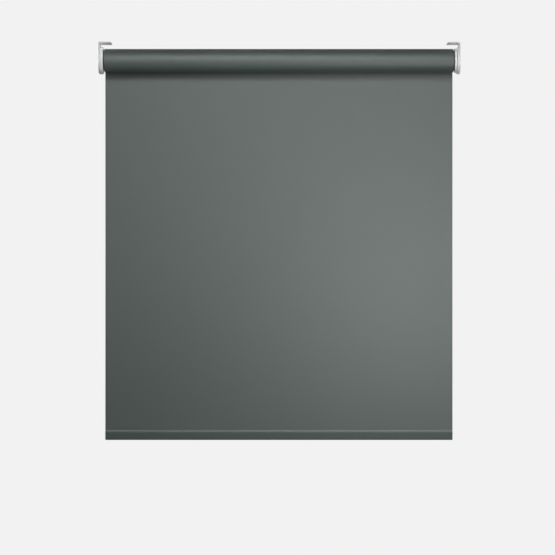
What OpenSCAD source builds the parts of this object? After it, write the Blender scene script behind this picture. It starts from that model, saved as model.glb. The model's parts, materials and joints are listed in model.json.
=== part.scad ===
// Roller blind with a rechargeable tube motor. The origin is the centre of the ceiling screw pattern,
// +Z is up, X runs along the roll and -Y faces the room. All sizes are in millimetres.

/* [Fabric] */
// Width of the fabric and length of the tube
fabric_w = 694; // [500:1:1800]
// Height from the mounting plane to the bottom of the hem
drop_h = 791.8; // [300:0.1:2000]
// Thickness of the fabric
fabric_t = 0.5; // [0.4:0.05:0.6]
// Diameter over the fabric that is wound on the tube
roll_d = 46.4; // [44:0.1:47.5]
// Height of the hem pocket
hem_h = 17.4; // [16:0.1:24]
// Depth of the hem pocket at its top, from room to window
hem_d = 6.6; // [6.4:0.1:8]
// How much less deep the hem pocket is at its bottom
hem_taper = 1.6; // [0:0.1:1.6]

/* [Tube] */
// Outer diameter of the roller tube
tube_d = 40; // [39.5:0.1:40.5]
// Wall of the roller tube
tube_wall = 1.5; // [1.2:0.1:1.8]
// Width of the key inside the tube
key_w = 2.4; // [2:0.1:3]
// Height of the key inside the tube
key_h = 1.6; // [1.2:0.1:1.8]

/* [Brackets] */
// Depth of the roll's axis below the mounting plane
axis_drop = 35.5; // [33:0.5:45]
// Width of each bracket, from room to window
bracket_w = 50; // [44:1:52]
// Thickness of the bracket sheet
plate_t = 2; // [1.5:0.1:2.5]
// Length of the ceiling flange along the roll
flange_l = 25; // [22:1:30]
// Diameter of the screw holes
screw_hole_d = 4.5; // [4:0.1:5]
// Distance between the ceiling holes along the roll, less the fabric's width
screw_span_extra = -2; // [-4:0.5:0]
// Distance between the two ceiling holes of a bracket
ceiling_hole_gap = 28; // [24:1:30]
// Distance between the two side holes of a bracket
side_hole_gap = 36; // [34:1:38]
// Depth of the side holes below the mounting plane
side_hole_drop = 8; // [7:0.5:9]
// Diameter of the round bracket covers
cover_d = 54; // [52:0.5:56]
// Depth of the cover at the idle end
idle_cover_t = 6.7; // [5:0.1:8]
// Depth of the cover at the motor end
motor_cover_t = 3.7; // [3.5:0.1:5]

/* [Motor] */
// Diameter of the motor head
head_d = 49; // [47.5:0.5:52]
// Thickness of the motor head outside the tube
head_t = 4.6; // [4.6:0.1:7]
// Outer diameter of the motor case
case_d = 26; // [26:0.1:27]
// Wall of the motor case
case_wall = 1; // [0.8:0.1:1]
// Length of the motor case
case_l = 409; // [409:1:440]
// Diameter of a battery cell
cell_d = 18.4; // [18:0.1:18.6]
// Length of a battery cell
cell_l = 64.4; // [64:0.1:64.6]
// Diameter of the output shaft
shaft_d = 8; // [7:0.1:8.5]

/* [Gears] */
// Tooth module
gear_m = 0.4; // [0.4]
// Teeth on the sun gear
sun_teeth = 12; // [12]
// Teeth on each planet gear
planet_teeth = 18; // [18]
// Width of the teeth along the shaft
gear_w = 9; // [7:0.5:9]

/* [Idle pin] */
// Diameter of the idle pin
pin_d = 6; // [5:0.1:6.5]
// Travel of the idle pin into the plug
pin_travel = 10; // [9:0.5:10]

/* [Hidden] */
$fn = 96;

// Colours
fabric_colour = "#5f6664";
white_colour = "#f3f3f1";
steel_colour = "#c4c7ca";
aluminium_colour = "#b4b8bc";
dark_colour = "#3a3c3e";
brass_colour = "#c8a24c";
acetal_colour = "#e4e4dc";
board_colour = "#24613a";
lens_colour = "#dfe7ea";
cell_colour = "#3f7fb0";
copper_colour = "#8c5a34";
strip_colour = "#d9d6c8";

// Gaps and small common sizes
end_gap = 0.5;        // between a turning lip and the fixed part beside it
cover_gap = 0.4;      // between the motor head and its bracket cover
seat_gap = 0.3;       // between a cover and the bracket plate
slip = 0.1;           // between parts that are pushed together
press_gap = 0.02;     // radial, between parts that are pressed or glued together
run_gap = 0.06;       // radial, on a running fit
crown_gap = 0.08;     // radial, between the crown ring and the motor case
eps = 0.5;            // how far a cut runs past a face
lip_t = 1.5;          // the lips outside the tube's ends
cover_wall = 1.5;
edge_r = 1;           // rounded rims of the covers and the head

// Places along the roll
half_w = fabric_w / 2;
lip_out = half_w + lip_t;
head_x = lip_out + end_gap;
motor_cover_x = head_x + head_t + cover_gap;
motor_plate_x = motor_cover_x + motor_cover_t + seat_gap;
motor_out = motor_plate_x + plate_t;
idle_cover_x = lip_out + end_gap;
idle_plate_x = idle_cover_x + idle_cover_t + seat_gap;
idle_out = idle_plate_x + plate_t;
screw_x = (fabric_w + screw_span_extra) / 2;

// Tube, roll and axis
axis_z = -axis_drop;
tube_r = tube_d / 2;
bore_r = tube_r - tube_wall;
wheel_r = bore_r - slip;
roll_r = roll_d / 2;
strip_t = 0.3;
strip_place = 180;
strip_angle = 34;
strip_room_angle = strip_angle + 2;
strip_inset = 1;
crown_l = 18;
plate_r = bracket_w / 2;
bend_r = 3;           // outside of the bracket's bend
lug_angle = 12;       // half the arc of each snap lug on a cover
lug_places = [-14, 194, 270];
lug_t = 1.4;
cover_r = cover_d / 2;
pin_hole_margin = 1;
stud_hole_margin = 3.5;
head_r = head_d / 2;

// Motor case and its contents
case_r = case_d / 2;
inner_r = case_r - case_wall;
fill_r = inner_r - slip;
case_x = head_x - case_l;
spigot_l = 35;
spigot_bore_r = 9.5;
head_chamber = 2.6;   // depth of the hollow in the head's flange
case_screw_x = head_x - spigot_l + 7;
case_screw_places = [0, 180];
thread_r = 0.85;
screw_head_r = 1.1;
gearbox_cap_t = 2;    // the flange outside the case
gearbox_cap_l = 10;   // the part inside the case

// Gearbox and carrier
stage_x = case_x + 26;
stage_l = 14;
gear_x = stage_x + 2;
sun_extra = 0.3;      // the sun gear is longer than the planets
carrier_r = 8.4;
carrier_x = stage_x - 3;
carrier_face = stage_x + 0.8;
carrier_end = stage_x + 13.2;
carrier_plate_t = 1.2;
carrier_bore_r = 3.3;

// Motor and brake
can_x = stage_x + 34;
can_l = 44;
can_r = fill_r - 0.3;
can_wall = 0.8;
can_front = 1.2;
can_cap_t = 2.5;
magnet_x = can_x + 5;
magnet_l = 32;
magnet_r = 9.5;
magnet_places = [90, 270];
magnet_angle = 65;    // half the arc of a magnet
axle_r = 1;
axle_x = gear_x + 0.3;
axle_end = can_x + can_l + 6;
rotor_r = 9;
rotor_x = can_x + 8;
rotor_l = 26;
rotor_slots = 5;
rotor_slot_depth = 4.5;
rotor_slot_r = 1.6;
rotor_slot_w = 1.2;
commutator_r = 3;
commutator_x = rotor_x + rotor_l + 1;
commutator_l = 5;
encoder_r = 4;
encoder_x = can_x + can_l + 1.5;
encoder_l = 3.5;
brake_x = stage_x + 18;
brake_l = 10;
brake_r = 7.5;
brake_hub_r = 6.9;
brake_hub_inset = 1;

// Battery cells
cell_count = 3;
cell_x = can_x + can_l + 12;
cell_pitch = cell_l + 0.9;
cell_end = cell_x + cell_count * cell_pitch;
cell_tip_r = 3;
cell_tip_l = 0.7;
holder_lip = 2;
holder_window = 6;
contact_r = 7;
contact_t = 0.4;

// Circuit board: places from the board's end, and from its middle line
board_x = head_x - 93;
board_l = 56;
board_w = 18;
board_t = 1.6;
radio_x = 3;
radio_size = [15, 12, 2.4];
driver_x = 22;
driver_size = [7, 7, 1.2];
chip_x = 33;
charger_y = 3.5;
charger_size = [5, 5, 1];
memory_y = -4;
memory_size = [4, 4, 1.6];
capacitor_places = [43, 50.5];
capacitor_r = 3;
capacitor_h = 6.5;
cell_plug_x = 4;
cell_plug_size = [6, 10, 5];

// Output shaft and drive wheel
shaft_r = shaft_d / 2;
shaft_flat = 0.8 * shaft_d;
shaft_tip = case_x - 36;
shaft_round_x = case_x - 3;
wheel_x = case_x - 30;
wheel_l = 18;
wheel_rim_r = 15;
wheel_hub_r = 7.5;
wheel_web_x = wheel_x + 7;
wheel_web_t = 4;
wheel_holes = 6;
wheel_hole_r = 2.4;
wheel_hole_ring_r = 11.3;
groove_x = wheel_x - 1.7;
groove_l = 1.2;
groove_r = 2.9;
ring_clip_r = 6.5;
ring_clip_slot = 3.6;

// Head stud, clip and what sits in the rim
stud_span = 14;
stud_bar = 5;
neck_span = 10.6;
neck_x = motor_cover_x + 2;
neck_l = 1.2;
clip_t = 1;
clip_margin = 3;
clip_corner = 2;
rim_x = head_x + head_t / 2;
rim_cut_r = spigot_bore_r - 1;
socket_angle = 270;
socket_w = 8.94;
socket_t = 3.2;
socket_l = 6.5;
socket_corner = 1.55;
socket_wall = 0.3;
socket_base = 1;
socket_inner = head_r - 0.5 - socket_l;
tongue_t = 0.7;
tongue_margin = 1.1;
button_angle = 305;
button_r = 1.5;
button_l = 15.4;
button_proud = 0.5;
button_edge = 0.3;
light_angle = 235;
light_r = 1;
light_l = 14.5;
head_board_r = 8.8;
head_board_t = 0.8;
switch_w = 3;
switch_t = 1.4;

// Gears
press_angle = 25;
addendum = 0.8 * gear_m;
dedendum = 1.1 * gear_m;
backlash = 0.06;
tooth_t = PI * gear_m / 2 - backlash;
flank_steps = 3;
ring_teeth = sun_teeth + 2 * planet_teeth;
orbit_r = gear_m * (sun_teeth + planet_teeth) / 2;
planet_angles = [90, 210, 330];
pin_r = 1;

// Idle end
plug_in = half_w - 31;
chamber_out = half_w - 6;
chamber_in = half_w - 28;
chamber_r = 5.6;
plug_end_t = 4;
plug_rim_r = 16;
plug_hub_r = 8.5;
rib_t = 1.6;
rib_places = [30, 150, 270];
bush_r = 5;
idle_pin_r = pin_d / 2;
collar_r = 5;
collar_t = 2;
collar_x = chamber_out - 0.3;
pin_tail = chamber_in + pin_travel + 2;
pin_proud = 0.4;
spring_turns = 7;
spring_r = 4.1;
wire_r = 0.4;
spring_out = collar_x - collar_t - wire_r - slip / 2;
spring_in = chamber_in + wire_r + slip / 2;

// Hanging fabric, hem and bar
sheet_y = roll_r + 0.3;
hem_y = sheet_y + fabric_t / 2;
hem_bottom = -drop_h;
hem_top = hem_bottom + hem_h;
hem_mid = hem_bottom + hem_h / 2;
hem_wall = 0.6;
hem_corner = 2;
hem_slope = hem_taper / (hem_h - 2 * hem_corner);
bar_gap = 0.25;
bar_play = 2.2;       // height that the bar leaves free in the pocket
bar_h = hem_h - 2 * hem_wall - bar_play;
bar_d = hem_d - 2 * hem_wall - 2 * bar_gap;
bar_wall = 1;
bar_corner = 1.5;
cap_t = 3;
cap_insert = 10;

// A profile drawn in Y and Z about the roll's axis, extruded along X from x0 to x1
module along_x(x0, x1) {
    translate([x0, 0, axis_z]) rotate([90, 0, 90]) linear_extrude(x1 - x0) children();
}

module disc_x(x0, x1, r) {
    along_x(x0, x1) circle(r);
}

module ring(r_out, r_in) {
    difference() {
        circle(r_out);
        circle(r_in);
    }
}

module ring_x(x0, x1, r_out, r_in) {
    along_x(x0, x1) ring(r_out, r_in);
}

// A profile with radius along X and height along Y, turned about the roll's axis from x0 towards +X
module turned_x(x0) {
    translate([x0, 0, axis_z]) rotate([0, 90, 0]) rotate_extrude() children();
}

module sector(r_out, r_in, middle, half_angle) {
    reach = 2 * r_out;
    intersection() {
        ring(r_out, r_in);
        polygon([
            [0, 0],
            for (a = [-half_angle, 0, half_angle]) reach * [cos(middle + a), sin(middle + a)]
        ]);
    }
}

// A rectangle with round corners, centred
module round_rect(w, h, r) {
    square([w - 2 * r, h], center = true);
    square([w, h - 2 * r], center = true);
    for (x = [-1, 1], y = [-1, 1]) {
        translate([x * (w / 2 - r), y * (h / 2 - r)]) circle(r);
    }
}

// The half section of a disc with a rounded rim on both faces
module rounded_disc_section(r, t) {
    square([r - edge_r, t]);
    translate([0, edge_r]) square([r, t - 2 * edge_r]);
    for (y = [edge_r, t - edge_r]) {
        translate([r - edge_r, y]) circle(edge_r);
    }
}

// Involute gear outlines
function involute(a) = tan(a) * 180 / PI - a;
function flank_angle(teeth, r, t) =
    let (pitch_r = gear_m * teeth / 2)
    let (base_r = pitch_r * cos(press_angle))
    let (at = r > base_r ? acos(base_r / r) : 0)
    t / (2 * pitch_r) * 180 / PI + involute(press_angle) - involute(at);
function gear_points(teeth, r_root, r_tip, t) = [
    for (n = [0:teeth - 1])
        for (side = [-1, 1])
            for (k = side < 0 ? [0:flank_steps] : [flank_steps:-1:0])
                let (r = r_root + (r_tip - r_root) * k / flank_steps)
                let (a = 360 * n / teeth + side * flank_angle(teeth, r, t))
                r * [cos(a), sin(a)]
];

module gear_outline(teeth) {
    pitch_r = gear_m * teeth / 2;
    polygon(gear_points(teeth, pitch_r - dedendum, pitch_r + addendum, tooth_t));
}

// The space that the ring gear's teeth leave
module ring_gear_space() {
    pitch_r = gear_m * ring_teeth / 2;
    space_t = PI * gear_m - tooth_t;
    rotate(180 / ring_teeth)
        polygon(gear_points(ring_teeth, pitch_r - addendum, pitch_r + dedendum, space_t));
}

// The notch that a wheel or plug needs for the key in the tube
module key_notch() {
    translate([-key_w / 2 - slip, bore_r - key_h - 2 * slip])
        square([key_w + 2 * slip, key_h + 2 * slip + eps]);
}

// A steel angle bracket on the +X side, with its outer face at x = out_x
module bracket(out_x) {
    difference() {
        intersection() {
            translate([0, plate_r, 0]) rotate([90, 0, 0]) linear_extrude(bracket_w) bracket_section(out_x);
            along_x(out_x - flange_l, out_x) bracket_outline();
        }
        for (y = [-1, 1]) {
            translate([screw_x, y * ceiling_hole_gap / 2, -plate_t - eps])
                cylinder(h = plate_t + 2 * eps, d = screw_hole_d);
            translate([out_x - plate_t - eps, y * side_hole_gap / 2, -side_hole_drop]) rotate([0, 90, 0])
                cylinder(h = plate_t + 2 * eps, d = screw_hole_d);
        }
    }
}

module bracket_section(out_x) {
    plate_h = axis_drop + plate_r;
    inner_bend = bend_r - plate_t;
    difference() {
        translate([out_x - flange_l, -plate_h]) square([flange_l, plate_h]);
        translate([out_x - flange_l - eps, -plate_h - eps])
            square([flange_l - plate_t + eps, plate_h - plate_t + eps]);
        difference() {
            translate([out_x - bend_r, -bend_r]) square(bend_r + eps);
            translate([out_x - bend_r, -bend_r]) circle(bend_r);
        }
    }
    difference() {
        translate([out_x - bend_r, -bend_r]) square(inner_bend);
        translate([out_x - bend_r, -bend_r]) circle(inner_bend);
    }
}

module bracket_outline() {
    circle(plate_r);
    translate([-plate_r, 0]) square([bracket_w, axis_drop]);
}

// A round cover on the +X side: a shallow cup that opens towards the bracket plate
module bracket_cover(face_x, depth, hub_r) {
    turned_x(face_x) difference() {
        union() {
            square([cover_r - edge_r, depth]);
            translate([0, edge_r]) square([cover_r, depth - edge_r]);
            translate([cover_r - edge_r, edge_r]) circle(edge_r);
        }
        translate([-eps, cover_wall]) square([cover_r - cover_wall + eps, depth]);
        translate([-eps, -eps]) square([hub_r + eps, depth + 2 * eps]);
    }
    // snap lugs over the round edge of the plate
    for (a = lug_places) {
        along_x(face_x + depth - slip, face_x + depth + seat_gap + plate_t)
            sector(plate_r + slip + lug_t, plate_r + slip, a, lug_angle);
    }
}

module stud_cross(span, gap) {
    square([span + 2 * gap, stud_bar + 2 * gap], center = true);
    square([stud_bar + 2 * gap, span + 2 * gap], center = true);
}

module idle_bracket() {
    color(steel_colour) mirror([1, 0, 0]) difference() {
        bracket(idle_out);
        disc_x(idle_plate_x - eps, idle_out + eps, idle_pin_r + run_gap);
    }
}

module idle_bracket_cover() {
    color(white_colour) mirror([1, 0, 0])
        bracket_cover(idle_cover_x, idle_cover_t, idle_pin_r + pin_hole_margin);
}

module motor_bracket() {
    color(steel_colour) difference() {
        bracket(motor_out);
        along_x(motor_plate_x - eps, motor_out + eps) stud_cross(stud_span, slip);
    }
}

module motor_bracket_cover() {
    color(white_colour) bracket_cover(motor_cover_x, motor_cover_t, stud_span / 2 + stud_hole_margin);
}

// A hole or a piece set into the head's rim, pointing outwards at an angle in the Y-Z plane, from r
module in_rim(angle, r) {
    translate([rim_x, 0, axis_z]) rotate([angle, 0, 0]) rotate([-90, 0, 0]) translate([0, 0, r]) children();
}

module socket_outline(gap) {
    round_rect(socket_t + 2 * gap, socket_w + 2 * gap, socket_corner + gap);
}

module motor_head() {
    color(white_colour) {
        difference() {
            union() {
                turned_x(head_x) rounded_disc_section(head_r, head_t);
                disc_x(head_x - spigot_l, head_x + edge_r, fill_r);
            }
            disc_x(head_x - spigot_l - eps, head_x + head_chamber, spigot_bore_r);
            in_rim(socket_angle, rim_cut_r) linear_extrude(head_r) socket_outline(slip);
            in_rim(button_angle, rim_cut_r) cylinder(h = head_r, r = button_r + slip);
            in_rim(light_angle, head_r - light_l) cylinder(h = light_l + eps, r = light_r);
            case_screw_set(thread_r + slip / 2);
        }
        along_x(head_x + head_t - eps, neck_x) stud_cross(stud_span, 0);
        along_x(neck_x, neck_x + neck_l) stud_cross(neck_span, 0);
        along_x(neck_x + neck_l, motor_out - slip) stud_cross(stud_span, 0);
    }
}

module head_lock_clip() {
    slot = neck_span + 2 * slip;
    span = slot + 2 * clip_margin;
    color(steel_colour) along_x(neck_x + slip, neck_x + slip + clip_t) difference() {
        round_rect(span, span, clip_corner);
        translate([-slot / 2, -slot / 2]) square([slot, span]);
    }
}

module charging_socket() {
    color(steel_colour) in_rim(socket_angle, socket_inner) {
        linear_extrude(socket_l) difference() {
            socket_outline(0);
            socket_outline(-socket_wall);
        }
        linear_extrude(socket_base) socket_outline(-socket_wall);
        linear_extrude(socket_l - socket_base)
            square([tongue_t, socket_w - 2 * tongue_margin], center = true);
    }
}

// A small round board in the head's hollow, with the switch that the button presses
module head_board() {
    face = head_x + seat_gap;
    back = face + head_board_t;
    color(board_colour) disc_x(face, back, head_board_r);
    color(dark_colour) along_x(back, back + switch_t)
        rotate(button_angle) translate([head_board_r - switch_w, -switch_w / 2]) square(switch_w);
}

module status_light_lens() {
    color(lens_colour) in_rim(light_angle, head_r - light_l + slip)
        cylinder(h = light_l - slip, r = light_r - slip / 2);
}

module program_button() {
    stem_l = button_l - button_edge;
    color(dark_colour) in_rim(button_angle, head_r + button_proud - button_l) {
        cylinder(h = stem_l, r = button_r);
        translate([0, 0, stem_l]) cylinder(h = button_edge, r1 = button_r, r2 = button_r - button_edge);
    }
}

module motor_case() {
    color(aluminium_colour) difference() {
        ring_x(case_x, head_x, case_r, inner_r);
        case_screw_set(screw_head_r + slip);
    }
}

// Two radial screws through the case into the head's spigot
module case_screw_set(r) {
    for (place = case_screw_places) {
        translate([case_screw_x, 0, axis_z]) rotate([place, 0, 0])
            translate([0, 0, spigot_bore_r + slip]) cylinder(h = case_r - spigot_bore_r, r = r);
    }
}

module case_screws() {
    thread_l = inner_r - spigot_bore_r - slip;
    color(dark_colour) for (place = case_screw_places) {
        translate([case_screw_x, 0, axis_z]) rotate([place, 0, 0]) {
            translate([0, 0, spigot_bore_r + 2 * slip]) cylinder(h = thread_l, r = thread_r);
            translate([0, 0, inner_r]) cylinder(h = case_wall - slip, r = screw_head_r);
        }
    }
}

module circuit_board() {
    color(board_colour) translate([board_x, -board_w / 2, axis_z - board_t / 2])
        cube([board_l, board_w, board_t]);
}

// A chip or module that stands on a board face at height z, with its middle at y across the board
module board_block(x, y, z, size) {
    translate([board_x + x, y - size.y / 2, z]) cube(size);
}

// Radio module, motor driver, charger, memory, storage capacitors and the plug for the cells
module board_parts() {
    top = axis_z + board_t / 2;
    bottom = axis_z - board_t / 2;
    color(dark_colour) {
        board_block(radio_x, 0, top, radio_size);
        board_block(driver_x, 0, top, driver_size);
        board_block(chip_x, charger_y, top, charger_size);
        board_block(chip_x, memory_y, top, memory_size);
        for (x = capacitor_places) {
            translate([board_x + x, 0, top]) cylinder(h = capacitor_h, r = capacitor_r);
        }
        board_block(cell_plug_x, 0, bottom - cell_plug_size.z, cell_plug_size);
    }
}

module battery_cells() {
    color(cell_colour) for (n = [0:cell_count - 1]) {
        back = cell_x + n * cell_pitch;
        front = back + cell_l;
        disc_x(back, front, cell_d / 2);
        disc_x(front, front + cell_tip_l, cell_tip_r);
    }
}

module cell_holder() {
    color(white_colour) along_x(cell_x - holder_lip, cell_end + holder_lip) difference() {
        ring(fill_r, cell_d / 2 + slip);
        translate([-holder_window / 2, 0]) square([holder_window, fill_r + eps]);
    }
}

module cell_contacts() {
    color(brass_colour) for (x = [cell_x - contact_t - 2 * slip, cell_end + slip]) {
        disc_x(x, x + contact_t, contact_r);
    }
}

module motor_can() {
    color(steel_colour) {
        ring_x(can_x, can_x + can_front, can_r, axle_r + run_gap);
        ring_x(can_x + can_front, can_x + can_l, can_r, can_r - can_wall);
    }
}

module motor_magnets() {
    color(dark_colour) for (a = magnet_places) {
        along_x(magnet_x, magnet_x + magnet_l)
            sector(can_r - can_wall - slip / 2, magnet_r, a, magnet_angle);
    }
}

module motor_end_cap() {
    back = can_x + can_l;
    color(dark_colour) ring_x(back - can_cap_t, back, can_r - can_wall - slip, axle_r + run_gap);
}

module brake_ring() {
    color(steel_colour) ring_x(brake_x, brake_x + brake_l, fill_r, brake_r);
}

module ring_gear() {
    color(steel_colour) along_x(stage_x, stage_x + stage_l) difference() {
        circle(fill_r);
        ring_gear_space();
    }
}

module gearbox_end_cap() {
    color(dark_colour) {
        ring_x(case_x - gearbox_cap_t, case_x, case_r, shaft_r + run_gap);
        ring_x(case_x, case_x + gearbox_cap_l, fill_r, shaft_r + run_gap);
    }
}

module rotor_shaft() {
    color(steel_colour) disc_x(axle_x, axle_end, axle_r);
}

module rotor_core() {
    color(copper_colour) along_x(rotor_x, rotor_x + rotor_l) difference() {
        ring(rotor_r, axle_r + press_gap);
        for (n = [0:rotor_slots - 1]) {
            rotate(360 * n / rotor_slots) translate([rotor_r - rotor_slot_depth, 0]) {
                circle(rotor_slot_r);
                translate([0, -rotor_slot_w / 2]) square([rotor_slot_depth + eps, rotor_slot_w]);
            }
        }
    }
}

module commutator() {
    color(brass_colour)
        ring_x(commutator_x, commutator_x + commutator_l, commutator_r, axle_r + press_gap);
}

module encoder_magnet() {
    color(dark_colour) ring_x(encoder_x, encoder_x + encoder_l, encoder_r, axle_r + press_gap);
}

module brake_hub() {
    color(brass_colour) ring_x(
        brake_x + brake_hub_inset, brake_x + brake_l - brake_hub_inset, brake_hub_r, axle_r + press_gap
    );
}

module sun_gear() {
    color(brass_colour) along_x(gear_x, gear_x + gear_w + sun_extra) difference() {
        rotate(90) gear_outline(sun_teeth);
        circle(axle_r + press_gap);
    }
}

// A planet has a gap facing the sun, where the sun has a tooth
module planet_gear(n) {
    a = planet_angles[n];
    color(acetal_colour) along_x(gear_x, gear_x + gear_w) translate(orbit_r * [cos(a), sin(a)])
        difference() {
            rotate(a + 180 / planet_teeth) gear_outline(planet_teeth);
            circle(pin_r + run_gap);
        }
}

module planet_gear_1() {
    planet_gear(0);
}

module planet_gear_2() {
    planet_gear(1);
}

module planet_gear_3() {
    planet_gear(2);
}

module at_planets() {
    for (a = planet_angles) {
        translate(orbit_r * [cos(a), sin(a)]) children();
    }
}

module shaft_outline(gap) {
    intersection() {
        circle(shaft_r + gap);
        square([2 * shaft_d, shaft_flat + 2 * gap], center = true);
    }
}

module planet_carrier() {
    color(steel_colour) {
        disc_x(carrier_x, carrier_face, carrier_r);
        disc_x(shaft_round_x, carrier_x, shaft_r);
        along_x(groove_x + groove_l, shaft_round_x) shaft_outline(0);
        disc_x(groove_x, groove_x + groove_l, groove_r);
        along_x(shaft_tip, groove_x) shaft_outline(0);
        along_x(carrier_face, carrier_end) at_planets() circle(pin_r);
    }
}

module carrier_plate() {
    color(steel_colour) along_x(carrier_end - carrier_plate_t, carrier_end) difference() {
        ring(carrier_r, carrier_bore_r);
        at_planets() circle(pin_r + press_gap);
    }
}

module drive_wheel() {
    color(dark_colour) difference() {
        union() {
            ring_x(wheel_x, wheel_x + wheel_l, wheel_r, wheel_rim_r);
            disc_x(wheel_x, wheel_x + wheel_l, wheel_hub_r);
            disc_x(wheel_web_x, wheel_web_x + wheel_web_t, wheel_rim_r + 2 * slip);
        }
        along_x(wheel_x - eps, wheel_x + wheel_l + eps) {
            shaft_outline(slip / 2);
            key_notch();
            for (n = [0:wheel_holes - 1]) {
                rotate(360 * (n + 1 / 2) / wheel_holes) translate([wheel_hole_ring_r, 0])
                    circle(wheel_hole_r);
            }
        }
    }
}

module drive_wheel_clip() {
    color(steel_colour) along_x(groove_x + slip, groove_x + groove_l - slip) difference() {
        ring(ring_clip_r, groove_r + slip / 2);
        translate([-ring_clip_slot / 2, 0]) square([ring_clip_slot, ring_clip_r + eps]);
    }
}

module roller_tube() {
    color(aluminium_colour) along_x(-half_w, half_w) {
        ring(tube_r, bore_r);
        translate([-key_w / 2, bore_r - key_h]) square([key_w, key_h + tube_wall / 2]);
    }
}

module crown_ring() {
    color(dark_colour) {
        along_x(half_w - crown_l, half_w) difference() {
            ring(wheel_r, case_r + crown_gap);
            key_notch();
        }
        ring_x(half_w, lip_out, tube_r, case_r + crown_gap);
    }
}

module bonding_strip() {
    color(strip_colour) along_x(-half_w + strip_inset, half_w - strip_inset)
        sector(tube_r + press_gap + strip_t, tube_r + press_gap, strip_place, strip_angle / 2);
}

module fabric_roll() {
    color(fabric_colour) along_x(-half_w, half_w) difference() {
        ring(roll_r, tube_r + press_gap);
        sector(tube_r + strip_t + slip / 2, tube_r - slip, strip_place, strip_room_angle / 2);
    }
}

// Hollow between hub and rim, with three ribs, open towards the inside of the tube
module plug_hollow() {
    difference() {
        ring(plug_rim_r, plug_hub_r);
        for (a = rib_places) {
            rotate(a) translate([0, -rib_t / 2]) square([plug_rim_r + eps, rib_t]);
        }
    }
}

module idle_plug() {
    color(dark_colour) mirror([1, 0, 0]) difference() {
        union() {
            disc_x(plug_in, half_w, wheel_r);
            disc_x(half_w, lip_out, tube_r);
        }
        disc_x(chamber_out, lip_out + eps, bush_r + press_gap);
        disc_x(chamber_in, chamber_out + slip, chamber_r);
        along_x(plug_in - eps, half_w - plug_end_t) plug_hollow();
        along_x(plug_in - eps, half_w) key_notch();
    }
}

module idle_bush() {
    color(brass_colour) mirror([1, 0, 0]) ring_x(chamber_out, lip_out, bush_r, idle_pin_r + run_gap);
}

module idle_pin() {
    color(steel_colour) mirror([1, 0, 0]) {
        disc_x(pin_tail, idle_out + pin_proud, idle_pin_r);
        disc_x(collar_x - collar_t, collar_x, collar_r);
    }
}

// A compression spring: a wire with six sides, swept along its coils
module idle_spring() {
    steps = 14;
    sides = 6;
    rings = spring_turns * steps;
    points = [
        for (i = [0:rings], j = [0:sides - 1])
            let (turn = 360 * i / steps)
            let (around = 360 * j / sides)
            let (r = spring_r + wire_r * cos(around))
            [
                spring_in + (spring_out - spring_in) * i / rings + wire_r * sin(around),
                r * cos(turn),
                r * sin(turn)
            ]
    ];
    walls = [
        for (i = [0:rings - 1], j = [0:sides - 1])
            let (next = (j + 1) % sides)
            [i * sides + j, i * sides + next, (i + 1) * sides + next, (i + 1) * sides + j]
    ];
    start_face = [for (j = [sides - 1:-1:0]) j];
    end_face = [for (j = [0:sides - 1]) rings * sides + j];
    color(steel_colour) mirror([1, 0, 0]) translate([0, 0, axis_z])
        polyhedron(points = points, faces = concat([start_face], walls, [end_face]));
}

module fabric_drop() {
    color(fabric_colour) translate([-half_w, sheet_y, hem_top + slip])
        cube([fabric_w, fabric_t, axis_z - hem_top - slip]);
}

// A profile drawn in Y and Z about the middle of the hem, extruded along X from x0 to x1
module along_hem(x0, x1) {
    translate([x0, hem_y, hem_mid]) rotate([90, 0, 90]) linear_extrude(x1 - x0) children();
}

// The hem's section: round corners, an upright back and a front that leans back towards the bottom
module hem_outline(w, h, r) {
    back = w / 2;
    top = h / 2 - r;
    lean = hem_slope * 2 * top;
    high = [r - back, top];
    low = [r - back + lean, -top];
    out = r * [-2 * top, -lean] / norm(high - low);
    polygon([
        high + out, low + out,
        low - [0, r], [back - r, -top - r],
        [back, -top], [back, top],
        [back - r, top + r], high + [0, r]
    ]);
    for (p = [high, low, [back - r, top], [back - r, -top]]) {
        translate(p) circle(r);
    }
}

module hem_pocket() {
    color(fabric_colour) along_hem(-half_w, half_w) difference() {
        hem_outline(hem_d, hem_h, hem_corner);
        hem_outline(hem_d - 2 * hem_wall, hem_h - 2 * hem_wall, hem_corner - hem_wall);
    }
}

module bar_outline(gap) {
    hem_outline(bar_d - 2 * gap, bar_h - 2 * gap, bar_corner - gap);
}

module bottom_bar() {
    color(aluminium_colour) along_hem(-half_w + cap_t, half_w - cap_t) difference() {
        bar_outline(0);
        bar_outline(bar_wall);
    }
}

module bar_cap() {
    color(dark_colour) {
        along_hem(half_w - cap_t, half_w - slip) bar_outline(0);
        along_hem(half_w - cap_t - cap_insert, half_w - cap_t + slip) bar_outline(bar_wall + slip);
    }
}

module bar_cap_left() {
    mirror([1, 0, 0]) bar_cap();
}

module bar_cap_right() {
    bar_cap();
}

idle_bracket();
idle_bracket_cover();
motor_bracket();
motor_bracket_cover();
motor_head();
head_lock_clip();
head_board();
charging_socket();
status_light_lens();
program_button();
motor_case();
case_screws();
circuit_board();
board_parts();
battery_cells();
cell_holder();
cell_contacts();
motor_can();
motor_magnets();
motor_end_cap();
brake_ring();
ring_gear();
gearbox_end_cap();
rotor_shaft();
rotor_core();
commutator();
encoder_magnet();
brake_hub();
sun_gear();
planet_gear_1();
planet_gear_2();
planet_gear_3();
planet_carrier();
carrier_plate();
drive_wheel();
drive_wheel_clip();
roller_tube();
crown_ring();
bonding_strip();
fabric_roll();
idle_plug();
idle_bush();
idle_spring();
idle_pin();
fabric_drop();
hem_pocket();
bottom_bar();
bar_cap_left();
bar_cap_right();
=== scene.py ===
"""Looks of the roller blind: the wound and hanging fabric, the materials, the camera and the light."""

import json
import math

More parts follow.
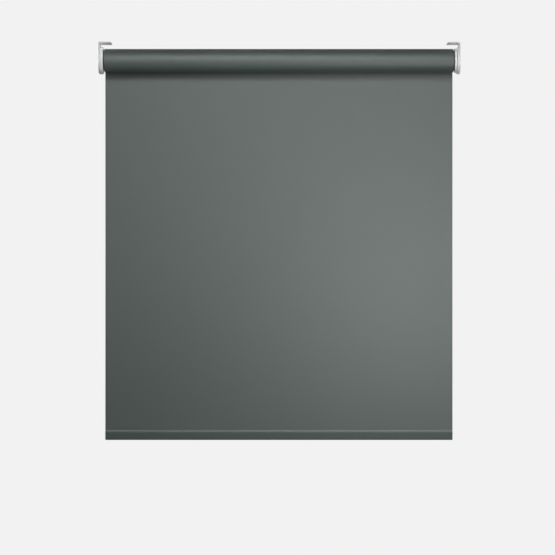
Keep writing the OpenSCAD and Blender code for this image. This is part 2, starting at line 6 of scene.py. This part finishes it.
import bpy
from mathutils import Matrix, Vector


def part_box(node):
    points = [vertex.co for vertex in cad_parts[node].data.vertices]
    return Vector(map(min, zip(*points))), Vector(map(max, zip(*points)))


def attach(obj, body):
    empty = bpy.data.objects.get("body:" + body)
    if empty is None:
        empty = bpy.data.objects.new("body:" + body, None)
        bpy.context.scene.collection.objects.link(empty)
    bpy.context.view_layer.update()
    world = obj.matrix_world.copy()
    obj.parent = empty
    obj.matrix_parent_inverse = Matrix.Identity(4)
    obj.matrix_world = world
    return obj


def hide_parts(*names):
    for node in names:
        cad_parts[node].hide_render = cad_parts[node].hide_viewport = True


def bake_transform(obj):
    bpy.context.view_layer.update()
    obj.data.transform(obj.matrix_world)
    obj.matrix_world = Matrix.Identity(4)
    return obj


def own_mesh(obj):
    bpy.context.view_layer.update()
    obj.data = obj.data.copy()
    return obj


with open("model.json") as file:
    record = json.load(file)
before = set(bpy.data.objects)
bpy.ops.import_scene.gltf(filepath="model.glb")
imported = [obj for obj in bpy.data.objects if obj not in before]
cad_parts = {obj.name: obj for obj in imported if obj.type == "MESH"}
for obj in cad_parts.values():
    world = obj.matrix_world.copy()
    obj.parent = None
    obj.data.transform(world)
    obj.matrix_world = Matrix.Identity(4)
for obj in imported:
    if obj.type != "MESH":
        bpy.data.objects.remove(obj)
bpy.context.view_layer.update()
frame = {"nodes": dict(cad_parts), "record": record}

MM = 0.001

# ---------------------------------------------------------------- places, from the frame

roll_low, roll_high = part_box("fabric_roll")
tube_low, tube_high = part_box("roller_tube")
drop_low, drop_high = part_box("fabric_drop")
hem_low, hem_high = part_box("hem_pocket")
strip_low, strip_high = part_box("bonding_strip")

HALF_W = roll_high.x
AXIS_Z = (roll_low.z + roll_high.z) / 2
ROLL_R = (roll_high.z - roll_low.z) / 2
TUBE_R = (tube_high.z - tube_low.z) / 2
CLOTH_T = drop_high.y - drop_low.y
SHEET_Y = (drop_low.y + drop_high.y) / 2
HEM_TOP = hem_high.z
HEM_BOTTOM = hem_low.z
HEM_MID_Y = (hem_low.y + hem_high.y) / 2
HEM_HALF_D = (hem_high.y - hem_low.y) / 2
STRIP_R = -strip_low.y
STRIP_HALF_ANGLE = math.asin((strip_high.z - AXIS_Z) / STRIP_R)

# ---------------------------------------------------------------- camera, light and floor

CAMERA_BACK = 5.0        # from the hanging fabric
CAMERA_X = -2.8 * MM
CAMERA_Z = -0.467
CAMERA_LENS = 162.2
CAMERA_SENSOR = 36
CAMERA_REACH = 50
FLOOR_DROP = 1.5         # below the hem
FLOOR_SIZE = 6.0
WALL_WHITE = 0.888       # the pale surroundings, as the camera sees them
AMBIENT_FRONT = 0.02
AMBIENT_BACK = 0.45
AMBIENT_FROM = 0.25      # towards the window, where the ambient light starts to grow
AMBIENT_TO = 0.9         # and where it is full
OPEN = 180               # a light without a grid
HIGH_LEFT = (-0.20, -2.90, 1.30)
LIGHTS = [
    # name, place, the point it faces, size, watts, angle of its grid
    ("key", HIGH_LEFT, (0, 0, -0.30), 0.8, 17.2, OPEN),
    ("key_beam", HIGH_LEFT, (-0.20, 0, 0), 0.8, 1.15, 32),
    ("fill", (0.60, -2.20, 0.30), (0, 0, -0.30), 0.6, 10.6, OPEN),
    ("lift", (0.34, -0.75, -0.51), (0, 0, -0.40), 0.3, 2.8, OPEN),
    ("left_side", (-2.2, 0.5, 0.1), (-0.35, 0, -0.10), 0.6, 1.7, 40),
    ("right_side", (2.2, 0.5, 0.1), (0.35, 0, -0.10), 0.6, 1.5, 40),
]
FLOOR_LIGHT_DROP = 0.2   # below the hem
FLOOR_LIGHT_SIZE = 1.5 * FLOOR_SIZE
FLOOR_LIGHT_WATTS = 220


def make_camera():
    """A level camera straight in front, at the photo's viewing height."""
    data = bpy.data.cameras.new("camera")
    data.lens = CAMERA_LENS
    data.sensor_width = CAMERA_SENSOR
    data.clip_end = CAMERA_REACH
    camera = bpy.data.objects.new("camera", data)
    camera.location = (CAMERA_X, SHEET_Y - CAMERA_BACK, CAMERA_Z)
    camera.rotation_euler = (math.radians(90), 0, 0)
    bpy.context.scene.collection.objects.link(camera)
    bpy.context.scene.camera = camera


def area_light(name, place, target, size, watts, beam):
    """A square light that the camera doesn't see. beam is the angle of its grid, in degrees."""
    data = bpy.data.lights.new(name, "AREA")
    data.shape = "SQUARE"
    data.size = size
    data.energy = watts
    data.spread = math.radians(beam)
    light = bpy.data.objects.new(name, data)
    light.location = place
    light.visible_camera = False
    light.rotation_euler = (Vector(target) - Vector(place)).to_track_quat("-Z", "Y").to_euler()
    bpy.context.scene.collection.objects.link(light)


def make_lights():
    """Soft light from high on the left and from the right, with a narrow beam on the upper left
    and a weak lift low on the right. Each bracket has a light from its own side, a little behind
    the fabric, and the floor has a wide one under the hem."""
    for light in LIGHTS:
        area_light(*light)
    below = HEM_BOTTOM - FLOOR_LIGHT_DROP
    place, target = (0, 0, below), (0, 0, below - 1)
    area_light("floor_light", place, target, FLOOR_LIGHT_SIZE, FLOOR_LIGHT_WATTS, OPEN)


def make_world():
    """Pale surroundings for the camera. What they give the object is a soft light, most of it from
    the window side."""
    world = bpy.data.worlds.new("studio")
    bpy.context.scene.world = world
    world.use_nodes = True
    nodes, links = world.node_tree.nodes, world.node_tree.links
    seen = nodes["Background"]
    seen.inputs["Color"].default_value = (WALL_WHITE, WALL_WHITE, WALL_WHITE, 1)
    given = nodes.new("ShaderNodeBackground")
    given.inputs["Color"].default_value = (1, 1, 1, 1)
    direction = nodes.new("ShaderNodeTexCoord")
    split = nodes.new("ShaderNodeSeparateXYZ")
    links.new(direction.outputs["Generated"], split.inputs["Vector"])
    strength = nodes.new("ShaderNodeMapRange")
    strength.interpolation_type = "SMOOTHSTEP"
    strength.inputs["From Min"].default_value = AMBIENT_FROM
    strength.inputs["From Max"].default_value = AMBIENT_TO
    strength.inputs["To Min"].default_value = AMBIENT_FRONT
    strength.inputs["To Max"].default_value = AMBIENT_BACK
    links.new(split.outputs["Y"], strength.inputs["Value"])
    links.new(strength.outputs["Result"], given.inputs["Strength"])
    path = nodes.new("ShaderNodeLightPath")
    mix = nodes.new("ShaderNodeMixShader")
    links.new(path.outputs["Is Camera Ray"], mix.inputs["Fac"])
    links.new(given.outputs["Background"], mix.inputs[1])
    links.new(seen.outputs["Background"], mix.inputs[2])
    links.new(mix.outputs["Shader"], nodes["World Output"].inputs["Surface"])


# ---------------------------------------------------------------- material kit

WAVE_PERIOD = math.pi / 10       # of the bands at scale 1


class Shader:
    """A material's node tree with a Principled shader, and short ways to add nodes to it."""

    def __init__(self, name, color, roughness, metallic=0.0, **constants):
        self.material = bpy.data.materials.new(name)
        self.material.use_nodes = True
        self.nodes = self.material.node_tree.nodes
        self.links = self.material.node_tree.links
        self.bsdf = self.nodes["Principled BSDF"]
        self.set(self.bsdf, "Base Color", (*color, 1))
        self.set(self.bsdf, "Roughness", roughness)
        self.set(self.bsdf, "Metallic", metallic)
        for socket, value in constants.items():
            self.set(self.bsdf, socket.replace("_", " "), value)
        self.coordinates = self.nodes.new("ShaderNodeTexCoord")
        self.normal = None

    def set(self, node, socket, value):
        """Links a node's output to a socket, or sets a plain value on it."""
        if isinstance(value, bpy.types.NodeSocket):
            self.links.new(value, node.inputs[socket])
        else:
            node.inputs[socket].default_value = value

    def add(self, kind, inputs, **settings):
        """A new shader node with its inputs linked or set."""
        node = self.nodes.new("ShaderNode" + kind)
        for key, value in settings.items():
            setattr(node, key, value)
        for socket, value in inputs.items():
            self.set(node, socket, value)
        return node

    def place(self, source="Object", scale=(1, 1, 1)):
        """Coordinates in metres, stretched by scale."""
        vector = self.coordinates.outputs[source]
        return self.add("Mapping", {"Vector": vector, "Scale": scale}).outputs["Vector"]

    def noise(self, scale, detail, vector=None, roughness=0.55):
        """Soft blots from 0 to 1. scale is how many there are in a metre."""
        vector = self.place() if vector is None else vector
        inputs = {"Vector": vector, "Scale": scale, "Detail": detail, "Roughness": roughness}
        return self.add("TexNoise", inputs).outputs["Fac"]

    def waves(self, period, axis, vector, wobble=0.0):
        """Smooth bands, one for each period in metres."""
        scale = WAVE_PERIOD / period
        inputs = {"Vector": vector, "Scale": scale, "Distortion": wobble, "Detail": 1.0}
        return self.add("TexWave", inputs, bands_direction=axis).outputs["Fac"]

    def math(self, operation, a, b):
        """One operation on two values."""
        return self.add("Math", {0: a, 1: b}, operation=operation).outputs[0]

    def spread(self, value, low, high):
        """A 0 to 1 value as one from low to high."""
        inputs = {"Value": value, "To Min": low, "To Max": high}
        return self.add("MapRange", inputs).outputs["Result"]

    def rough(self, value, low, high):
        """The roughness, from low to high as a 0 to 1 value goes up."""
        self.set(self.bsdf, "Roughness", self.spread(value, low, high))

    def tint(self, color, factor):
        """The base colour, made lighter or darker by a factor around 1."""
        mix = self.add("VectorMath", {0: color, "Scale": factor}, operation="SCALE")
        self.set(self.bsdf, "Base Color", mix.outputs[0])

    def bump(self, height, strength, distance):
        """Relief on the surface, on top of what is there already."""
        node = self.add("Bump", {"Height": height, "Strength": strength, "Distance": distance})
        if self.normal is not None:
            self.links.new(self.normal, node.inputs["Normal"])
        self.normal = node.outputs["Normal"]
        self.links.new(self.normal, self.bsdf.inputs["Normal"])


# ---------------------------------------------------------------- materials

CLOTH = (0.0832, 0.1098, 0.0997)
THREAD = 0.55 * MM       # from one thread of the weave to the next
SLUB_STRETCH = (9, 900, 9)        # long thick threads across the cloth
FILM_STRETCH = (40, 400, 400)     # ripples along the cells
SEAM_HIGHLIGHT_LIFT = 1.25         # painted highlight: the cloth's colour in the welded seam, made lighter to stand for the light along the seam line
WIRE_PITCH = 0.5 * MM    # between the turns of the rotor's windings
TRACKS = 350.0           # in a metre of the circuit board
TRACK_START = 0.42       # from the middle of the patch between them, as a share of one
FLOOR_WHITE = (0.80, 0.80, 0.79)


def cloth_material(name, lift, gloss, roughness):
    """Blockout cloth in a fine plain weave, in metres along the cloth."""
    # A lift above 1 makes the colour lighter, a painted highlight where the seam uses it.
    color = tuple(lift * c for c in CLOTH)
    shader = Shader(name, color, roughness=roughness, Specular_IOR_Level=gloss)
    flat = shader.place("UV")
    warp = shader.waves(THREAD, "X", flat, wobble=0.3)
    weft = shader.waves(THREAD, "Y", flat, wobble=0.3)
    crossing = shader.math("MULTIPLY", warp, weft)
    slub = shader.noise(scale=1.0, vector=shader.place("UV", SLUB_STRETCH), detail=2.0)
    cloud = shader.noise(scale=7.0, vector=flat, detail=2.0)
    fibre = shader.noise(scale=2600.0, vector=flat, detail=2.0)
    factor = shader.spread(crossing, low=0.97, high=1.03)
    factor = shader.math("MULTIPLY", factor, shader.spread(slub, low=0.965, high=1.035))
    factor = shader.math("MULTIPLY", factor, shader.spread(cloud, low=0.985, high=1.015))
    factor = shader.math("MULTIPLY", factor, shader.spread(fibre, low=0.97, high=1.03))
    shader.tint(color, factor)
    shader.rough(fibre, low=roughness - 0.04, high=roughness + 0.06)
    shader.bump(crossing, strength=0.35, distance=0.08 * MM)
    shader.bump(slub, strength=0.15, distance=0.05 * MM)
    return shader.material


def moulded_material(name, color, roughness, grain=0.25):
    """Moulded plastic: a fine spark grain, soft unevenness of gloss and faint flow marks."""
    shader = Shader(name, color, roughness=roughness, Specular_IOR_Level=0.5)
    fine = shader.noise(scale=3200.0, detail=2.0)
    broad = shader.noise(scale=45.0, detail=3.0)
    shader.tint(color, shader.spread(broad, low=0.975, high=1.025))
    shader.rough(broad, low=roughness - 0.06, high=roughness + 0.06)
    shader.bump(fine, strength=grain, distance=0.03 * MM)
    return shader.material


def coated_steel_material(name, color):
    """White powder coat: the small orange-peel waves of a baked coating."""
    shader = Shader(name, color, roughness=0.42, Coat_Weight=0.15, Coat_Roughness=0.25)
    peel = shader.noise(scale=900.0, detail=2.0)
    broad = shader.noise(scale=30.0, detail=2.0)
    shader.tint(color, shader.spread(broad, low=0.97, high=1.02))
    shader.rough(peel, low=0.36, high=0.48)
    shader.bump(peel, strength=0.3, distance=0.05 * MM)
    return shader.material


def brushed_material(name, color, roughness, stretch):
    """Bare metal with fine lines along one axis, short across it, and a little unevenness."""
    shader = Shader(name, color, roughness=roughness, metallic=1.0)
    lines = shader.noise(scale=1.0, vector=shader.place("Object", stretch), detail=3.0, roughness=0.6)
    broad = shader.noise(scale=60.0, detail=2.0)
    shader.tint(color, shader.spread(broad, low=0.92, high=1.06))
    shader.rough(lines, low=roughness - 0.08, high=roughness + 0.12)
    shader.bump(lines, strength=0.2, distance=0.02 * MM)
    return shader.material


def winding_material(name, color):
    """Enamelled copper wire, wound around the rotor's poles."""
    shader = Shader(name, color, roughness=0.35, metallic=1.0, Coat_Weight=0.6, Coat_Roughness=0.15)
    wire = shader.waves(WIRE_PITCH, "X", shader.place(), wobble=0.2)
    shader.tint(color, shader.spread(wire, low=0.6, high=1.15))
    shader.bump(wire, strength=0.8, distance=0.15 * MM)
    return shader.material


def board_material(name, color):
    """Green solder mask with a pattern of tracks under it."""
    shader = Shader(name, color, roughness=0.35, Coat_Weight=0.4, Coat_Roughness=0.2)
    inputs = {"Vector": shader.place(), "Scale": TRACKS}
    cells = shader.add("TexVoronoi", inputs, distance="CHEBYCHEV")
    track = shader.math("GREATER_THAN", cells.outputs["Distance"], TRACK_START)
    shader.tint(color, shader.spread(track, low=0.85, high=1.6))
    shader.bump(track, strength=0.2, distance=0.03 * MM)
    return shader.material


def film_material(name, color):
    """Shrink film on the cells, pulled into faint ripples."""
    shader = Shader(name, color, roughness=0.25, Coat_Weight=0.5, Coat_Roughness=0.1)
    ripple = shader.noise(scale=1.0, vector=shader.place("Object", FILM_STRETCH), detail=2.0)
    shader.tint(color, shader.spread(ripple, low=0.9, high=1.1))
    shader.bump(ripple, strength=0.3, distance=0.1 * MM)
    return shader.material


def lens_material(name, color):
    """A clear light guide with a faintly frosted face."""
    shader = Shader(name, color, roughness=0.12, Transmission_Weight=0.7, IOR=1.49)
    frost = shader.noise(scale=2500.0, detail=2.0)
    shader.rough(frost, low=0.08, high=0.22)
    shader.bump(frost, strength=0.1, distance=0.02 * MM)
    return shader.material


def magnet_material(name, color):
    """Sintered ferrite: dark, coarse and slightly shiny."""
    shader = Shader(name, color, roughness=0.55, metallic=0.4)
    grain = shader.noise(scale=1800.0, detail=4.0, roughness=0.7)
    shader.tint(color, shader.spread(grain, low=0.7, high=1.3))
    shader.bump(grain, strength=0.5, distance=0.05 * MM)
    return shader.material


def floor_material():
    """Matt paint, very faintly mottled."""
    shader = Shader("floor_paint", FLOOR_WHITE, roughness=0.9)
    mottle = shader.noise(scale=3.0, detail=3.0)
    shader.tint(FLOOR_WHITE, shader.spread(mottle, low=0.985, high=1.0))
    return shader.material


MATERIALS = {
    "white_plastic": moulded_material("white_plastic", (0.92, 0.92, 0.905), 0.32),
    "bracket_steel": coated_steel_material("bracket_steel", (0.80, 0.80, 0.79)),
    "steel": brushed_material("steel", (0.55, 0.56, 0.57), 0.30, (60, 1500, 1500)),
    "aluminium": brushed_material("aluminium", (0.72, 0.73, 0.75), 0.34, (8, 1200, 1200)),
    "dark_plastic": moulded_material("dark_plastic", (0.030, 0.032, 0.034), 0.45, 0.4),
    "acetal": moulded_material("acetal", (0.74, 0.73, 0.67), 0.36, 0.15),
    "brass": brushed_material("brass", (0.70, 0.50, 0.22), 0.28, (900, 60, 60)),
    "windings": winding_material("windings", (0.50, 0.20, 0.09)),
    "magnet": magnet_material("magnet", (0.055, 0.055, 0.060)),
    "board": board_material("board", (0.020, 0.110, 0.045)),
    "board_parts": moulded_material("board_parts", (0.022, 0.022, 0.024), 0.5, 0.3),
    "cell_wrap": film_material("cell_wrap", (0.030, 0.150, 0.340)),
    "lens": lens_material("lens", (0.88, 0.92, 0.94)),
    "tape": moulded_material("tape", (0.58, 0.56, 0.46), 0.6, 0.3),
    "fabric": cloth_material("fabric_cloth", 1.0, gloss=0.875, roughness=0.53),
}

# The seam cloth is smoother and glossier where its threads are pressed flat, and its lighter colour is
# a painted highlight.
SEAM_HIGHLIGHT_CLOTH = cloth_material("fabric_seam_highlight", SEAM_HIGHLIGHT_LIFT, gloss=0.92, roughness=0.50)


def dress_frame():
    """Every CAD node gets its slot's material."""
    slot_of = {row["node"]: row["material_slot"] for row in frame["record"]["subparts"]}
    for name, obj in frame["nodes"].items():
        obj.data.materials.clear()
        obj.data.materials.append(MATERIALS[slot_of[name]])


# ---------------------------------------------------------------- edges and shading

SHARP_ANGLE = 40         # degrees, the least bend that is rounded on a part or stays sharp on cloth
BREAK_SEGMENTS = 2
EDGE_BREAK = {
    "idle_bracket": 0.35 * MM,
    "motor_bracket": 0.35 * MM,
    "idle_bracket_cover": 0.25 * MM,
    "motor_bracket_cover": 0.25 * MM,
    "motor_head": 0.20 * MM,
    "crown_ring": 0.30 * MM,
    "idle_plug": 0.30 * MM,
    "bar_cap_left": 0.20 * MM,
    "bar_cap_right": 0.20 * MM,
}


def break_edges():
    """Rounds the sharp edges of the pieces that show, so that they catch the light."""
    for name, width in EDGE_BREAK.items():
        bevel = frame["nodes"][name].modifiers.new("edge_break", "BEVEL")
        bevel.width = width
        bevel.segments = BREAK_SEGMENTS
        bevel.limit_method = "ANGLE"
        bevel.angle_limit = math.radians(SHARP_ANGLE)
        bevel.harden_normals = True


# ---------------------------------------------------------------- fabric

SHEET_COLUMNS = 32       # between the cut edges
CUT_EDGE = 0.5 * MM      # the narrow rim column beside each cut edge
CLOTH_GAP = 0.02 * MM    # between two layers of cloth
WRAP_ANGLE = 48          # degrees of the roll's back that the sheet lies on, above the tangent line
WRAP_ROWS = 12
WRAP_THIN = 0.06         # thickness left at the end of that wrap, as a share
CUP = 1.6 * MM           # how far the middle of the free edges bows out of the flat
CUP_WAVE = 0.35          # a faint wave across the sheet, as a share of that bow
CUP_TURNS = 3.1          # radians of the wave from the middle to a cut edge
CUP_START = 0.4          # radians, so that the wave isn't even

HEM_CORNER = 1.75 * MM   # the pocket's round corners
HEM_TIGHT = 0.9 * MM     # its front top corner
HEM_LEAN = 1.6 * MM      # how far the hem's front leans back, as its bar does
HEM_SHOULDER = 0.4 * MM  # how far below the pocket's top the back corner ends
HEM_LIP = 0.8 * MM       # how far below it the front corner ends
HEM_START = 70           # degrees round the back corner, where the sheet comes onto it
HEM_END = 95             # degrees round the front corner, where the flap leaves it
HEM_BEND = [             # the sheet's step back over the bar: how far back, up from the pocket's top
    (0.5 * MM, -0.5 * MM),
    (1.2 * MM, -0.75 * MM),
]
CORNER_STEPS = 6
TIGHT_STEPS = 5          # of the top corners
SIDE_STEPS = 6           # down the back and up the front
SEAM_FOOT = 0.9 * MM     # how far in front of the seam the closing slope starts
SEAM_DROP = 0.5 * MM     # and how far below the pocket's top
SEAM_TUCK = (0.1 * MM, 0.15 * MM)     # the bend into it: in front, below
SEAM_RISE = 1.7 * MM     # how far above the pocket's top the slope ends
SEAM_LIP = 1.0 * MM      # the welded strip above that
SEAM_GAP = 0.05 * MM     # between the sheet and the flap welded to it
SEAM_STEPS = 3           # of the slope
SEAM_ROWS = SEAM_STEPS + 1       # rows of faces in the slope and the strip

WINDING_STEPS = 96       # around one turn
WINDING_LAYERS = 6
WINDING_LOOSE = 0.03 * MM        # between the tube and the first turn
WINDING_INSET = 0.25 * MM        # of its cut edges from the sheet's
WINDING_EASE = 0.12 * MM         # the rounding of its cut edges
BUMP_REACH = 1.8         # how far round the bonding strip's bump goes, in half angles of the strip
BUMP_FADE = 0.7          # and over how much of that it rises
DRIFTS = [               # how the turns wander along the roll: size, radians a turn, start
    (0.12 * MM, 2.3, 0),
    (0.08 * MM, 5.1, 1),
]


def link_mesh(name, points, faces, uvs=None):
    """A new object in the scene, with a place on the cloth for each point if uvs gives it."""
    mesh = bpy.data.meshes.new(name)
    mesh.from_pydata(points, [], faces)
    mesh.update()
    if uvs is not None:
        layer = mesh.uv_layers.new(name="along_the_cloth")
        for loop in mesh.loops:
            layer.data[loop.index].uv = uvs[loop.vertex_index]
    obj = bpy.data.objects.new(name, mesh)
    bpy.context.scene.collection.objects.link(obj)
    return obj


def smooth(obj):
    """Smooth shading, except over sharp edges."""
    mesh = obj.data
    mesh.polygons.foreach_set("use_smooth", [True] * len(mesh.polygons))
    mesh.set_sharp_from_angle(angle=math.radians(SHARP_ANGLE))


def grid_faces(rows, columns):
    """Quads between neighbouring rows of a grid."""
    return [
        (r * columns + c, r * columns + c + 1, (r + 1) * columns + c + 1, (r + 1) * columns + c)
        for r in range(rows - 1)
        for c in range(columns - 1)
    ]


def arc(middle_y, middle_z, radius, start, end, steps):
    """Points (y, z) on a circle, from one angle to another in degrees, 0 towards +Y and 90 up."""
    found = []
    for n in range(steps + 1):
        a = math.radians(start + (end - start) * n / steps)
        found.append((middle_y + radius * math.cos(a), middle_z + radius * math.sin(a)))
    return found


def straight(a, b, steps):
    """Points between two points, without the ends."""
    return [tuple(p + (q - p) * n / steps for p, q in zip(a, b)) for n in range(1, steps)]


def sheet_rows():
    """The sheet's section from top to bottom as (y, z, thickness share, bow share).

    Between the tangent line and the hem there is only one row, half way."""
    rows = []
    for n in range(WRAP_ROWS):
        left = 1 - n / WRAP_ROWS
        angle = math.radians(WRAP_ANGLE * left)
        share = 1 - left * left * (1 - WRAP_THIN)
        inner = ROLL_R + CLOTH_GAP + (SHEET_Y - CLOTH_T / 2 - ROLL_R) * (1 - left) ** 2
        radius = inner + share * CLOTH_T / 2
        rows.append((radius * math.cos(angle), AXIS_Z + radius * math.sin(angle), share, 0))
    rows.append((SHEET_Y, drop_high.z, 1, 0))
    rows.append((SHEET_Y, (drop_high.z + HEM_TOP) / 2, 1, 1))
    rows.append((SHEET_Y, HEM_TOP, 1, 0))
    rows += [(y, z, 1, 0) for y, z in hem_section()]
    return rows


def hem_section():
    """Down behind the bar, round under it and up its room side to the seam, as (y, z)."""
    half_t = CLOTH_T / 2
    back_y = HEM_MID_Y + HEM_HALF_D - half_t
    front_y = HEM_MID_Y - HEM_HALF_D + half_t
    shoulder = HEM_TOP - HEM_SHOULDER - HEM_CORNER
    lip = HEM_TOP - HEM_LIP - HEM_TIGHT
    foot = HEM_BOTTOM + half_t + HEM_CORNER
    lean = math.degrees(math.atan(HEM_LEAN / (lip - foot)))
    rows = [(SHEET_Y + y, HEM_TOP + z) for y, z in HEM_BEND]
    rows += arc(back_y - HEM_CORNER, shoulder, HEM_CORNER, HEM_START, 0, TIGHT_STEPS)
    rows += straight(rows[-1], (back_y, foot), SIDE_STEPS)
    rows += arc(back_y - HEM_CORNER, foot, HEM_CORNER, 0, -90, CORNER_STEPS)
    rows += arc(front_y + HEM_CORNER + HEM_LEAN, foot, HEM_CORNER, -90, -180 + lean, CORNER_STEPS)
    high = arc(front_y + HEM_TIGHT, lip, HEM_TIGHT, 180 + lean, HEM_END, TIGHT_STEPS)
    rows += straight(rows[-1], high[0], SIDE_STEPS)
    rows += high
    flap_y = SHEET_Y - CLOTH_T - SEAM_GAP
    closed = HEM_TOP + SEAM_RISE
    foot_z = HEM_TOP - SEAM_DROP
    tuck_y, tuck_z = SEAM_TUCK
    rows += [(flap_y - SEAM_FOOT - tuck_y, foot_z - tuck_z), (flap_y - SEAM_FOOT, foot_z)]
    rows += straight(rows[-1], (flap_y, closed), SEAM_STEPS)
    rows += [(flap_y, closed), (flap_y, closed + SEAM_LIP)]
    return rows


def make_sheet():
    """The hanging fabric in one piece: the last of the wrap, the drop and the hem pocket."""
    rows = sheet_rows()
    inside = HALF_W - CUT_EDGE
    columns = [inside / HALF_W * (2 * c / SHEET_COLUMNS - 1) for c in range(SHEET_COLUMNS + 1)]
    across = [-1.0, *columns, 1.0]
    along = [0.0]
    for a, b in zip(rows, rows[1:]):
        along.append(along[-1] + math.dist(a[:2], b[:2]))
    points, shares, uvs = [], [], []
    for (y, z, share, bow), down in zip(rows, along):
        for x in across:
            wave = CUP_WAVE * math.cos(CUP_TURNS * x + CUP_START)
            points.append((x * HALF_W, y + CUP * (x ** 4 - wave) * bow, z))
            shares.append(share)
            uvs.append((x * HALF_W, down))
    sheet = link_mesh("fabric_sheet", points, grid_faces(len(rows), len(across)), uvs)
    smooth(sheet)
    sheet.data.materials.append(MATERIALS["fabric"])
    sheet.data.materials.append(SEAM_HIGHLIGHT_CLOTH)
    # The seam's faces get the seam cloth, whose lighter colour is a painted highlight.
    in_seam = (len(rows) - 1 - SEAM_ROWS) * (len(across) - 1)
    for face in sheet.data.polygons[in_seam:]:
        face.material_index = 1
    group = sheet.vertex_groups.new(name="thickness")
    for share in sorted(set(shares)):
        group.add([n for n, s in enumerate(shares) if s == share], share, "REPLACE")
    solid = sheet.modifiers.new("cloth_thickness", "SOLIDIFY")
    solid.thickness = CLOTH_T
    solid.offset = 0
    solid.vertex_group = "thickness"
    solid.thickness_vertex_group = 0
    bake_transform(sheet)
    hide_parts("fabric_drop", "hem_pocket")


def winding_inside(turn, angle):
    """The inner radius of the strip of cloth after so many turns.

    The bonding strip's bump shows through, less with each turn."""
    beside = (angle - math.pi) % (2 * math.pi)
    beside = min(beside, 2 * math.pi - beside)
    rise = (BUMP_REACH * STRIP_HALF_ANGLE - beside) / (BUMP_FADE * STRIP_HALF_ANGLE)
    over = min(max(rise, 0), 1)
    bump = (STRIP_R - TUBE_R) * over * over * (3 - 2 * over) * (1 - turn / WINDING_LAYERS)
    start = TUBE_R + WINDING_LOOSE
    return start + bump + (ROLL_R - start) * turn / WINDING_LAYERS


def make_winding():
    """The fabric on the tube: one strip, wound in a spiral from the bonding strip outwards.

    It thins out over its last turn, so that the outside stays round and the hanging sheet can lie
    on it."""
    steps = WINDING_LAYERS * WINDING_STEPS
    points, uvs, faces = [], [], []
    for n in range(steps + 1):
        turn = n / WINDING_STEPS
        angle = 2 * math.pi * (WINDING_LAYERS - turn)
        inner = min(winding_inside(turn, angle), ROLL_R - CLOTH_GAP)
        last = turn >= WINDING_LAYERS - 1
        outer = ROLL_R if last else inner + CLOTH_T
        drift = sum(size * math.sin(rate * turn + start) for size, rate, start in DRIFTS)
        half = HALF_W - WINDING_INSET + drift * (not last)
        ease = min(WINDING_EASE, (outer - inner) / 4)
        section = [
            (-half, inner + ease), (-half, outer - ease), (-half + ease, outer),
            (half - ease, outer), (half, outer - ease), (half, inner + ease),
            (half - ease, inner), (-half + ease, inner),
        ]
        for x, radius in section:
            points.append((x, radius * math.cos(angle), AXIS_Z + radius * math.sin(angle)))
            uvs.append((x, -inner * angle))
    around = len(section)
    for n in range(steps):
        for k in range(around):
            a, b = n * around + k, n * around + (k + 1) % around
            faces.append((a, b, b + around, a + around))
    faces.append(tuple(range(around - 1, -1, -1)))
    faces.append(tuple(steps * around + k for k in range(around)))
    winding = link_mesh("fabric_winding", points, faces, uvs)
    smooth(winding)
    winding.data.materials.append(MATERIALS["fabric"])
    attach(winding, "roller")
    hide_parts("fabric_roll")


# ---------------------------------------------------------------- spring

SPRING_WIRE_R = 0.4 * MM
SPRING_TURNS = 7
SPRING_STEPS = 24        # in one turn
SPRING_SIDES = 10
SPRING_CLOSED = 0.35     # pitch of its last turn at each end, as a share of the pitch between them


def make_spring():
    """The idle pin's spring, a coil of wire with closer turns at each end, at its rest length."""
    low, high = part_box("idle_spring")
    coil_r = (high.z - low.z) / 2 - SPRING_WIRE_R
    steps = SPRING_TURNS * SPRING_STEPS
    pitch = [SPRING_CLOSED if min(n, steps - 1 - n) < SPRING_STEPS else 1 for n in range(steps)]
    length = high.x - low.x - 2 * SPRING_WIRE_R
    points, faces = [], []
    for n in range(steps + 1):
        turn = 2 * math.pi * n / SPRING_STEPS
        x = low.x + SPRING_WIRE_R + length * sum(pitch[:n]) / sum(pitch)
        for k in range(SPRING_SIDES):
            around = 2 * math.pi * k / SPRING_SIDES
            r = coil_r + SPRING_WIRE_R * math.cos(around)
            rise = SPRING_WIRE_R * math.sin(around)
            points.append((x + rise, r * math.cos(turn), AXIS_Z + r * math.sin(turn)))
    for n in range(steps):
        for k in range(SPRING_SIDES):
            a, b = n * SPRING_SIDES + k, n * SPRING_SIDES + (k + 1) % SPRING_SIDES
            faces.append((a, a + SPRING_SIDES, b + SPRING_SIDES, b))
    faces.append(tuple(range(SPRING_SIDES)))
    faces.append(tuple(len(points) - 1 - k for k in range(SPRING_SIDES)))
    spring = link_mesh("idle_spring_wire", points, faces)
    smooth(spring)
    spring.data.materials.append(MATERIALS["steel"])
    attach(spring, "roller")
    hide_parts("idle_spring")
    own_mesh(spring)


# ---------------------------------------------------------------- the scene


def make_floor():
    """A pale floor, which throws no light back up onto the fabric."""
    mesh = bpy.data.meshes.new("floor")
    h = FLOOR_SIZE / 2
    z = HEM_BOTTOM - FLOOR_DROP
    mesh.from_pydata([(-h, -h, z), (h, -h, z), (h, h, z), (-h, h, z)], [], [(0, 1, 2, 3)])
    floor = bpy.data.objects.new("floor", mesh)
    bpy.context.scene.collection.objects.link(floor)
    floor.data.materials.append(floor_material())
    floor.visible_diffuse = False
    floor.visible_glossy = False


make_camera()
make_lights()
make_world()
make_floor()
dress_frame()
break_edges()
make_winding()
make_sheet()
make_spring()
bpy.context.scene.view_settings.view_transform = "Standard"
